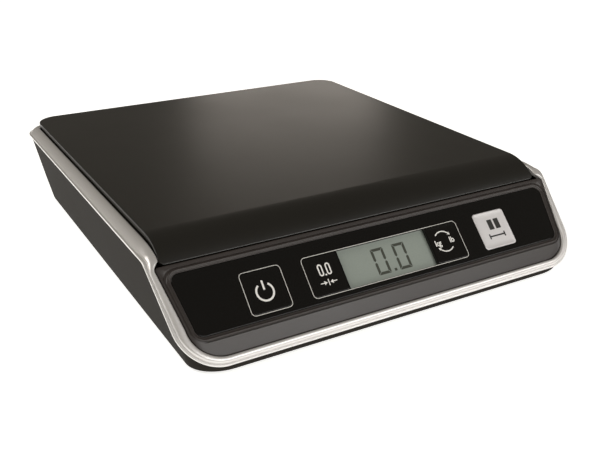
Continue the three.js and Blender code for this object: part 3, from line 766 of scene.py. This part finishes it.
def make_frame():
    seat = [(99.9 + d, 0.1 - d, 28.5 + d, 4.1 + d, 4.1 + d, h) for d, h in (
        (0, -1.8), (0, -0.32), (0.1, -0.22), (0.3, -0.2), (0.5, -0.22), (0.65, -0.16), (0.85, 0.06),
        (1.1, 0.2), (1.35, 0.24), (1.6, 0.18), (1.8, 0), (1.95, -0.25))]
    loops = [panel_loop(*loop) for loop in seat]
    loops += [panel_loop(102.3, -2.1, 30.7, 5, 6, -0.35), panel_loop(102.5, -2.4, 31.1, 4.6, 7, -0.02)]
    tip = math.tan(math.radians(12))
    outside = [(0.5, 0), (0.25, -0.02), (0.08, -0.12), (0, -0.3), (0, -1.0)]
    for inset, height in outside:
        loops.append(panel_loop(104.0 - inset, -4.0 + inset, 37.8 - inset, 1.4, 14.2 - inset,
                                height, tip))
    loops.append(panel_loop(104.0, -4.0, 37.8, 1.4, 14.2, -2.1))
    loops.append(panel_loop(99.6, -0.5, 35.2, 1.4, 11.6, -2.1))
    loops.append(panel_loop(99.6, -0.5, 35.2, 1.4, 11.6, -3.3))
    return loft("panel_bezel", loops)


bezel = make_frame()
print("bezel:", len(bezel.data.vertices), "points before its holes")


# %% [markdown]
# Holes through the frame and the film are prisms in panel coordinates. The same prism, with
# rounded edges, makes the keys. `round_box` gives the points of a rounded rectangle, and
# `pad_loop` lays them on the panel at a height.

# %% Pads and prisms on the panel
def round_box(x, row, width, height, radius, steps=5):
    """The points of a rounded rectangle, from its top right corner round to its top left."""
    w, h, r = width / 2, height / 2, radius
    right = arc(x + w - r, row - h + r, r, r, -90, 0, steps)
    right += arc(x + w - r, row + h - r, r, r, 0, 90, steps)
    left = arc(x - w + r, row + h - r, r, r, 90, 180, steps)
    left += arc(x - w + r, row - h + r, r, r, 180, 270, steps)
    return right + left


def pad_loop(x, row, width, height_along, radius, height, steps=8):
    """A rounded rectangle centred on a column and a row, at a height over the panel."""
    outline = round_box(x, row, width, height_along, radius, steps)
    return [panel(u, v, height) for u, v in outline]


def pad_prism(x, row, width, height_along, radius, low, high):
    return loft("pad", [pad_loop(x, row, width, height_along, radius, h) for h in (low, high)])


KEY_ROW = 16.3
KEYS = {
    "power_key": (-62.0, KEY_ROW, 18.5, 18.5),
    "tare_key": (-33.0, KEY_ROW, 17.6, 18.2),
    "unit_key": (33.2, KEY_ROW, 17.6, 18.2),
    "hold_key": (62.7, 15.9, 19.0, 18.8),
}
KEY_RADIUS, KEY_STEM = 1.6, 13.0
WINDOW = (0, KEY_ROW, 47.8, 18.1)

stem_holes = [pad_prism(x, row, 13.8, 13.8, 1, -10, 5) for x, row, w, h in KEYS.values()]
carve(bezel, stem_holes + [pad_prism(0, KEY_ROW, 50.2, 20.1, 0.6, -10, 5)])
placed(smooth(bezel), bezel_abs, "case", ["panel_frame"])


# %% [markdown]
# The film lies in the seat. It has rounded edges, a window over the display, and a hole for
# each key pad. The window's edge is chamfered, which gives the thin bright line round it.

# %% The glossy film
def make_film():
    edge = [(0.1, OVERLAY_LOW), (0, OVERLAY_LOW + 0.15), (0, OVERLAY_TOP - 0.3),
            (0.06, OVERLAY_TOP - 0.12), (0.18, OVERLAY_TOP - 0.03), (0.35, OVERLAY_TOP)]
    loops = [panel_loop(99.8 - d, 0.3 + d, 28.3 - d, 4 - d, 4 - d, h) for d, h in edge]
    film_piece = loft("panel_film", loops)
    holes = [pad_prism(x, row, w + 0.3, h + 0.3, KEY_RADIUS + 0.15, -5, 5)
             for x, row, w, h in KEYS.values()]
    x, row, w, h = WINDOW
    chamfer = loft("chamfer", [pad_loop(x, row, w, h + 2 * d, 0.4, z) for d, z in (
        (0, -5), (0, OVERLAY_TOP - 0.3), (0.6, OVERLAY_TOP + 0.3))])
    return smooth(carve(film_piece, [*holes, chamfer]))


placed(make_film(), film, "case", ["panel_overlay"])


# %% [markdown]
# Each key is a pad with a slightly raised rim, on a square stem that reaches down to its snap
# dome. The pad of the hold key is silver, and the others match the film.

# %% The keys
def make_key(name):
    x, row, w, h = KEYS[name]
    low, top = OVERLAY_LOW + 0.4, OVERLAY_TOP
    loops = [pad_loop(x, row, KEY_STEM, KEY_STEM, 1, z) for z in (-4.7, low - 0.01)]
    rim = [(0.15, low), (0, low + 0.12), (0, top - 0.22), (0.06, top - 0.09), (0.18, top - 0.01),
           (0.32, top + 0.01), (0.6, top), (1.1, top - 0.05), (1.8, top - 0.1), (2.8, top - 0.12)]
    for inset, z in rim:
        radius = max(KEY_RADIUS - inset, 0.5)
        loops.append(pad_loop(x, row, w - 2 * inset, h - 2 * inset, radius, z))
    return smooth(loft(name + "_pad", loops), angle=50)


for name in KEYS:
    finish, slot = (key_silver, "silver_key") if name == "hold_key" else (film, "gloss_overlay")
    placed(make_key(name), finish, name.replace("key", "button"), [name])


# %% [markdown]
# The printed marks are thin layers of ink. A `stroke` follows a line with a flat, narrow
# section, and a `patch` fills an outline. Both are closed solids a few hundredths of a
# millimetre thick, so that they stay on the surface in every view.

# %% Ink strokes and patches
INK = 0.04
KEY_FACE = OVERLAY_TOP - 0.12


def joined(name, parts):
    """Several meshes as one piece."""
    whole = bmesh.new()
    for part in parts:
        whole.from_mesh(part.data)
        bpy.data.objects.remove(part)
    bmesh.ops.remove_doubles(whole, verts=whole.verts, dist=0.002 * MM)
    mesh = bpy.data.meshes.new(name)
    whole.to_mesh(mesh)
    whole.free()
    return add_object(name, mesh)


def stroke(points, width, face, closed=False):
    """A band of ink along points given as (x, row), at the height of a face."""
    line = np.array(points, float)
    before, after = np.roll(line, 1, axis=0), np.roll(line, -1, axis=0)
    if not closed:
        before[0], after[-1] = line[0], line[-1]
    loops = []
    for point, a, b in zip(line, before, after):
        first, second = point - a, b - point
        first = first / (np.linalg.norm(first) or 1)
        second = second / (np.linalg.norm(second) or 1)
        along = first + second
        along = along / np.linalg.norm(along)
        across = np.array((-along[1], along[0])) * width / 2
        bend = max(abs(float(np.dot(along, second if np.any(second) else first))), 0.5)
        p, q = point + across / bend, point - across / bend
        loops.append([panel(*p, face), panel(*q, face),
                      panel(*q, face + INK), panel(*p, face + INK)])
    return loft("stroke", loops, ring=closed)


def patch(points, face):
    """A flat area of ink inside an outline of (x, row) points."""
    return loft("patch", [[panel(x, row, h) for x, row in points] for h in (face, face + INK)])


# %% [markdown]
# The power key carries the standard symbol, an open ring with a bar. The tare key shows 0.0
# over two arrows that meet at a line, and the unit key two arrows that chase each other round
# the unit symbols. The hold key has two bars. Words are replaced by plain symbols.

# %% Marks on the keys
def power_marks():
    x, row, w, h = KEYS["power_key"]
    ring_line = arc(x - 0.5, row + 0.5, 3.9, 3.9, -55, 235, 36)
    bar = [(x - 0.5, row - 4.6), (x - 0.5, row - 0.4)]
    return [stroke(ring_line, 0.85, KEY_FACE), stroke(bar, 0.85, KEY_FACE)]


def arrow(tip, direction, length, size):
    """A small filled arrow with its tip at a point. Direction is +1 to the right, -1 to the left."""
    x, row = tip
    back = x - direction * size
    head = [(x, row), (back, row - size * 0.62), (back, row + size * 0.62)]
    tail = [(back, row), (back - direction * length, row)]
    return [patch(head, KEY_FACE), stroke(tail, 0.42, KEY_FACE)]


def tare_marks():
    digits = [stroke(round_box(x, 14.0, 1.75, 4.9, 0.85), 0.62, KEY_FACE, closed=True)
              for x in (-34.6, -30.7)]
    point = patch(round_box(-32.65, 16.45, 0.75, 0.75, 0.2, 2), KEY_FACE)
    wall = stroke([(-32.7, 18.5), (-32.7, 21.4)], 0.45, KEY_FACE)
    arrows = arrow((-33.4, 19.95), 1, 1.9, 1.5) + arrow((-32.0, 19.95), -1, 1.9, 1.5)
    return [*digits, point, wall, *arrows]


def unit_marks():
    x, row, r, sweep = 32.3, 15.5, 5.0, 92
    parts = []
    for start in (225, 45):
        parts.append(stroke(arc(x, row, r, r, start, start + sweep, 20), 0.55, KEY_FACE))
        end = math.radians(start + sweep)
        out = np.array((math.cos(end), math.sin(end)))
        ahead = np.array((-out[1], out[0]))
        base = np.array((x, row)) + out * r
        parts.append(patch([base + ahead * 1.3, base + out * 0.8, base - out * 0.8], KEY_FACE))
    return parts


def hold_marks():
    bars = [patch(round_box(x, 13.4, 2.9, 5.2, 0.15, 2), KEY_FACE) for x in (61.7, 65.7)]
    line = stroke([(58.6, 19.3), (67.6, 19.3)], 0.75, KEY_FACE)
    ends = [stroke([(x, 18.0), (x, 20.6)], 0.75, KEY_FACE) for x in (58.6, 67.6)]
    return [*bars, line, *ends]


placed(joined("power_marks", power_marks()), light_ink, "power_button")
placed(joined("tare_marks", tare_marks()), light_ink, "tare_button")
placed(joined("unit_marks", unit_marks()), light_ink, "unit_button")
placed(joined("hold_marks", hold_marks()), dark_ink, "hold_button")


# %% [markdown]
# The unit symbols are set in Blender's own plain typeface. Text becomes a mesh first, and only
# then is it laid on the panel.

# %% Unit symbols and the outlines
def lettering(word, x, row, size):
    data = bpy.data.curves.new(word, "FONT")
    data.body = word
    data.size = size
    data.extrude = INK / 2
    data.align_x = "CENTER"
    data.align_y = "CENTER"
    data.resolution_u = 3
    data.offset = 0.09
    text = add_object("text", data)
    graph = bpy.context.evaluated_depsgraph_get()
    mesh = bpy.data.meshes.new_from_object(text.evaluated_get(graph))
    bpy.data.objects.remove(text)
    for vertex in mesh.vertices:
        u, v, h = vertex.co
        vertex.co = Vector(panel(x + u, row - v, KEY_FACE + INK / 2 + h)) * MM
    return add_object("text", mesh)


symbols = [lettering("kg", 28.6, 15.9, 3.9), lettering("lb", 36.7, 15.6, 3.9)]
placed(joined("unit_symbols", symbols), light_ink, "unit_button")


def key_outlines():
    """A line round the power key, and one round the display and the two keys beside it."""
    x, row, w, h = KEYS["power_key"]
    left, right, tall = KEYS["tare_key"], KEYS["unit_key"], KEYS["tare_key"][3]
    around, line = 0.62, 0.26
    first, last = left[0] - left[2] / 2, right[0] + right[2] / 2
    boxes = [(x, row, w + around, h + around),
             ((first + last) / 2, row, last - first + around, tall + around)]
    return [stroke(round_box(*box, 1.9), line, OVERLAY_TOP, closed=True) for box in boxes]


placed(joined("key_outlines", key_outlines()), line_ink, "case")


# %% [markdown]
# The display is a glass cell with a polarising sheet on its front. Its figures are seven
# segments each, hexagons with a gap between them, and they read 0.0.

# %% The display
GLASS_FACE = -1.9


def make_display():
    loops = [pad_loop(0, KEY_ROW, w, h, 0.5, z, 3) for w, h, z in (
        (49.4, 19.4, -4.1), (49.4, 19.4, -2.5), (48.9, 18.9, -2.4), (48.9, 18.9, -2.0),
        (48.7, 18.7, GLASS_FACE))]
    return smooth(loft("display_cell", loops))


def bar(start, end, outward, width, gap=0.16):
    """The two ends of a bar, drawn in by the gap, and half its width along it and outwards."""
    start, end, out = (np.array(v, float) for v in (start, end, outward))
    along = (end - start) / np.linalg.norm(end - start)
    half, side = width / 2, out * width / 2
    first, last = start + along * gap, end - along * gap
    return first, last, along * half, side


def level_bar(start, end, outward, width):
    """A bar between two corners: a trapezium with mitred ends."""
    first, last, half, side = bar(start, end, outward, width)
    return patch([first - half + side, last + half + side, last - half - side,
                  first + half - side], GLASS_FACE)


def upright_bar(corner, middle, outward, width):
    """A bar from a corner to the middle, where it ends in a point."""
    first, last, half, side = bar(corner, middle, outward, width)
    return patch([first - half + side, last - half + side, last, last - half - side,
                  first + half - side], GLASS_FACE)


def zero(left, top, width, height, bar_width=1.3):
    """The figure nought, which lights every bar except the middle one."""
    right, low, half = left + width, top + height, top + height / 2
    bars = [level_bar((left, top), (right, top), (0, -1), bar_width),
            level_bar((left, low), (right, low), (0, 1), bar_width)]
    for x, outward in ((left, (-1, 0)), (right, (1, 0))):
        bars += [upright_bar((x, row), (x, half), outward, bar_width) for row in (top, low)]
    return bars


placed(make_display(), display_face, "case", ["display_glass"])
figures = zero(-6.1, 10.9, 5.4, 11.3) + zero(5.5, 10.9, 5.4, 11.3)
figures.append(patch(round_box(2.5, 22.0, 1.3, 1.3, 0.15, 2), GLASS_FACE))
placed(joined("display_figures", figures), segment_ink, "case")


# %% [markdown]
# Underneath are four rubber feet, four screws in deep wells, two screws for the load cell and
# the battery door. Feet and screws repeat, so one Geometry Nodes tree sets a copy of a master
# piece on each point of a small cloud. The points come from the middles of the CAD nodes.

# %% Feet and screws
def copies_tree(name, material):
    tree, given = new_tree(name, {"Master": "NodeSocketObject"})
    master = node(tree, "GeometryNodeObjectInfo", {}, {"Object": given["Master"]})
    points = node(tree, "GeometryNodeMeshToPoints", {}, {0: given["Geometry"]})
    copies = node(tree, "GeometryNodeInstanceOnPoints", {}, {
        "Points": points.outputs[0], "Instance": master.outputs["Geometry"]})
    close_tree(tree, copies.outputs[0], material)
    return tree


def set_out(name, master, nodes, material, height):
    """A copy of the master at the middle of each CAD node, at one height, as one mesh."""
    cloud = bpy.data.meshes.new(name)
    places = [middle_of(n) for n in nodes]
    cloud.from_pydata([(p.x * MM, p.y * MM, height * MM) for p in places], [], [])
    piece = grown(add_object(name, cloud), copies_tree(name, material), {"Master": master})
    bpy.data.objects.remove(master)
    placed(smooth(piece), material, "case", nodes)


def foot_master():
    """A rubber button with three shallow grooves in its sole."""
    profile = [(0.8, 2.0), (6.7, 2.0), (7.0, 1.8), (7.0, 0.5), (6.85, 0.2), (6.5, 0.03), (6.2, 0.0)]
    for radius in (5.2, 3.8, 2.4):
        profile += [(radius + 0.3, 0.0), (radius + 0.2, 0.25), (radius - 0.2, 0.25), (radius - 0.3, 0.0)]
    return turned(profile + [(0.8, 0.0)], 0, 0, 48)


def screw_master(head, shank, height, length):
    """A pan-head screw, head down, with a cross recess."""
    profile = [(head * 0.3, 0), (head * 0.7, 0.02), (head * 0.92, height * 0.18), (head, height * 0.5),
               (head, height), (shank, height), (shank, length), (shank * 0.5, length + 0.5)]
    screw = turned(profile, 0, 0, 32)
    deep, arm, wide = height * 0.65, head * 0.58, head * 0.17
    cross = [block(-arm, -wide, -1, arm, wide, deep), block(-wide, -arm, -1, wide, arm, deep)]
    return carve(screw, cross)


set_out("rubber_feet", foot_master(), [f"foot_{i}" for i in range(1, 5)], rubber, 0)
set_out("case_screws", screw_master(3.1, 1.3, 1.7, 20.5), [f"case_screw_{i}" for i in range(1, 5)],
        nickel, 3.0)
set_out("cell_screws_below", screw_master(3.4, 1.7, 1.9, 17.5), ["cell_screw_1", "cell_screw_2"],
        nickel, 2.0)


# %% [markdown]
# The battery door is a flat cover with a finger recess and grip ridges at its front edge. The
# ridges are one ridge repeated along a line by Geometry Nodes, and then joined to the door.

# %% The battery door
def ridge_tree():
    tree, given = new_tree("grip_ridges", {"Count": "NodeSocketInt", "Pitch": "NodeSocketFloat"})
    step = node(tree, "ShaderNodeCombineXYZ", {}, {"Y": given["Pitch"]})
    line = node(tree, "GeometryNodeMeshLine", {"mode": "OFFSET"}, {
        "Count": given["Count"], "Offset": step.outputs[0]})
    copies = node(tree, "GeometryNodeInstanceOnPoints", {}, {
        "Points": line.outputs[0], "Instance": given["Geometry"]})
    close_tree(tree, copies.outputs[0], case_abs)
    return tree


def make_door():
    x1, y0, y1 = DOOR_HIGH.x, DOOR_LOW.y, DOOR_HIGH.y
    low, high = DOOR_LOW.z, DOOR_HIGH.z
    edge = [(0.35, low), (0.1, low + 0.06), (0, low + 0.3), (0, high - 0.15), (0.15, high)]
    loops = [[(x, y, z) for x, y in plate_outline(x1, y0, y1, 2, 2, inset)] for inset, z in edge]
    door = loft("door_cover", loops)
    hollow = turned([(9.5, low - 1), (9.5, low), (8.7, low + 0.7), (7.5, low + 0.9)], 0, y0 + 12)
    carve(door, [hollow])
    profile = [(0.45, low + 0.95), (0.42, low + 0.3), (0.25, low + 0.08)]
    at = y0 + 7
    ridge = loft("ridge", [[(-6, at - w, z), (6, at - w, z), (6, at + w, z), (-6, at + w, z)]
                           for w, z in profile])
    ridges = grown(ridge, ridge_tree(), {"Count": 5, "Pitch": 2.4 * MM})
    return smooth(carve(door, [ridges], "UNION"))


placed(make_door(), case_abs, "door", ["battery_door"])


# %% [markdown]
# The socket in the rear wall is a folded steel shell round a black tongue. Five raised
# contacts are joined to the tongue.

# %% The power socket
SHELL_CORNER = 0.7
TONGUE_HALF, TONGUE_THICK = 2.5, 0.45
CONTACT_PITCH, CONTACT_HALF = 0.95, 0.25


def make_socket():
    low, high = box_mm("power_socket")
    x, z = (low.x + high.x) / 2, (low.z + high.z) / 2
    w, h = high.x - low.x, high.z - low.z

    def ring_at(y, inset):
        points = round_box(x, z, w - 2 * inset, h - 2 * inset, max(SHELL_CORNER - inset, 0.2))
        return [(u, y, v) for u, v in points]

    shell = loft("socket_shell", [
        ring_at(low.y, 0), ring_at(high.y - 0.15, 0), ring_at(high.y, 0.12),
        ring_at(high.y, 0.3), ring_at(high.y - 0.15, 0.4), ring_at(low.y + 1.2, 0.4)])
    tongue = block(x - TONGUE_HALF, low.y + 1, z - TONGUE_THICK,
                   x + TONGUE_HALF, high.y - 1.0, z + TONGUE_THICK)
    contacts = []
    for i in range(-2, 3):
        middle = x + CONTACT_PITCH * i
        contacts.append(block(middle - CONTACT_HALF, low.y + 1.5, z - 0.55,
                              middle + CONTACT_HALF, high.y - 1.4, z - 0.3))
    carve(tongue, contacts, "UNION")
    tongue.name = "socket_tongue"
    placed(smooth(shell), nickel, "case", ["power_socket"])
    placed(tongue, epoxy, "case")


make_socket()


# %% [markdown]
# What stays hidden keeps its CAD shape and only gets its finish: the deck, the load cell and
# its blocks, the boards, the batteries and their contacts, and the leads.

# %% Finishes of the inner pieces
INNER = {
    "deck": case_abs, "platform_carrier": aluminium, "load_cell": aluminium, "gauge_coating": silicone,
    "cell_foot_block": nickel, "cell_head_block": nickel, "cell_screw_3": nickel, "cell_screw_4": nickel,
    "overload_stop": nickel, "display_connector": rubber, "key_board": solder_mask,
    "main_board": solder_mask, "controller_chip": epoxy, "panel_lead": pvc, "cell_lead": pvc,
}
for i in range(1, 5):
    INNER[f"carrier_pad_{i}"] = rubber
    INNER[f"key_dome_{i}"] = nickel
for i in range(1, 4):
    INNER[f"battery_cell_{i}"] = sleeve
    INNER[f"battery_spring_{i}"] = nickel
    INNER[f"battery_plate_{i}"] = nickel
for name, finish in INNER.items():
    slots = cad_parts[name].data.materials
    slots.clear()
    slots.append(finish)
print("inner pieces dressed:", len(INNER))


# %% [markdown]
# The stage is a pale floor in a plain studio. A black, shiny object shows mostly what it
# reflects, so the room itself is dim and the light comes from three soft boxes: a broad one
# high in front, a small one low behind that draws the sheen on the platform, and one at the
# left for the ring. The floor glows a little, so that the shadow on it stays faint.

# %% Floor and light
def make_floor():
    reach, thick = 20000, 20
    floor = block(-reach, -reach, -thick, reach, reach, 0)
    floor.name = "floor"
    material, tree, shader = paint("floor_paper", "#fbfbfa", 0.9, Emission_Strength=0.75)
    shader.inputs["Emission Color"].default_value = linear("#fffffd")
    grain(tree, shader, 3.0, 0.01)
    floor.data.materials.append(material)


def soft_box(name, position, target, size, power, colour):
    """A flat lamp that faces the target. Distances are in millimetres, power in watts."""
    data = bpy.data.lights.new(name, "AREA")
    data.shape = "RECTANGLE"
    data.size, data.size_y = size[0] * MM, size[1] * MM
    data.energy = power
    data.color = linear(colour)[:3]
    lamp = bpy.data.objects.new(name, data)
    lamp.location = Vector(position) * MM
    aim = Vector(target) - Vector(position)
    lamp.rotation_euler = aim.to_track_quat("-Z", "Y").to_euler()
    bpy.context.scene.collection.objects.link(lamp)


def make_room(strength):
    world = bpy.data.worlds.new("studio")
    world.use_nodes = True
    background = world.node_tree.nodes["Background"]
    background.inputs["Color"].default_value = linear("#fff6e6")
    background.inputs["Strength"].default_value = strength
    bpy.context.scene.world = world


make_floor()
make_room(0.16)
soft_box("front", (500, -1250, 780), (0, -100, 20), (1500, 450), 9.5, "#fffefc")
soft_box("behind", (540, 970, 225), (60, 110, 47), (360, 170), 0.42, "#fff5ea")
soft_box("left", (-900, 300, 900), (0, 0, 20), (900, 900), 7, "#fffcf6")
bpy.context.scene.view_settings.view_transform = "Standard"
print("lamps:", len(bpy.data.lights))
